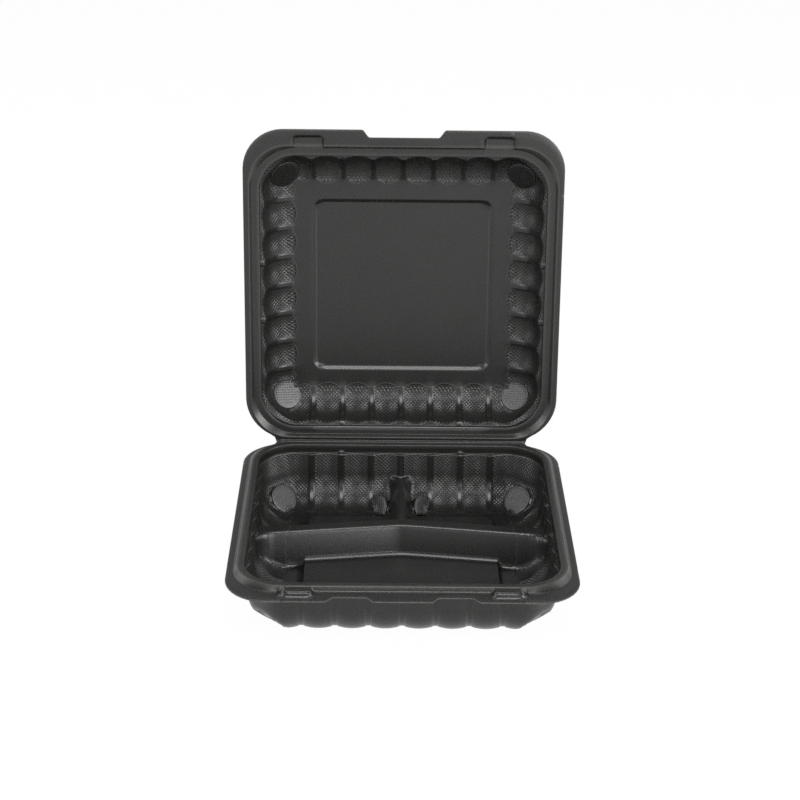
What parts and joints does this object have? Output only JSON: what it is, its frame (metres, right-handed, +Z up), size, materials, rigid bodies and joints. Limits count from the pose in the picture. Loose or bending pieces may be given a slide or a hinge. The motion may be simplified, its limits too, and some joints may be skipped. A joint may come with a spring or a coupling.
{
  "type": "hinged lid food container",
  "caption": "Square takeaway food container formed from one dark plastic sheet, with fluted walls, a divided tray and a lid standing open on a creased hinge.",
  "frame": {"origin": "middle of the tray's foot, on the plane that it stands on", "axes": "+Z up, +X to the right along the crease, +Y to the rear, from the front lip towards the hinge"},
  "size_m": [0.23, 0.2868, 0.2753],
  "materials": {
    "formed_sheet": "satin charcoal sheet, finely knurled in the flutes"
  },
  "bodies": {
    "tray": {"base_tray": "formed_sheet"},
    "cover": {"lid": "formed_sheet"}
  },
  "joints": [
    {"name": "lid_hinge", "type": "hinge", "parent": "tray", "child": "cover", "pos_m": [0, 0.1129, 0.0422], "axis": [1, 0, 0], "range_deg": [-84, 96]}
  ]
}
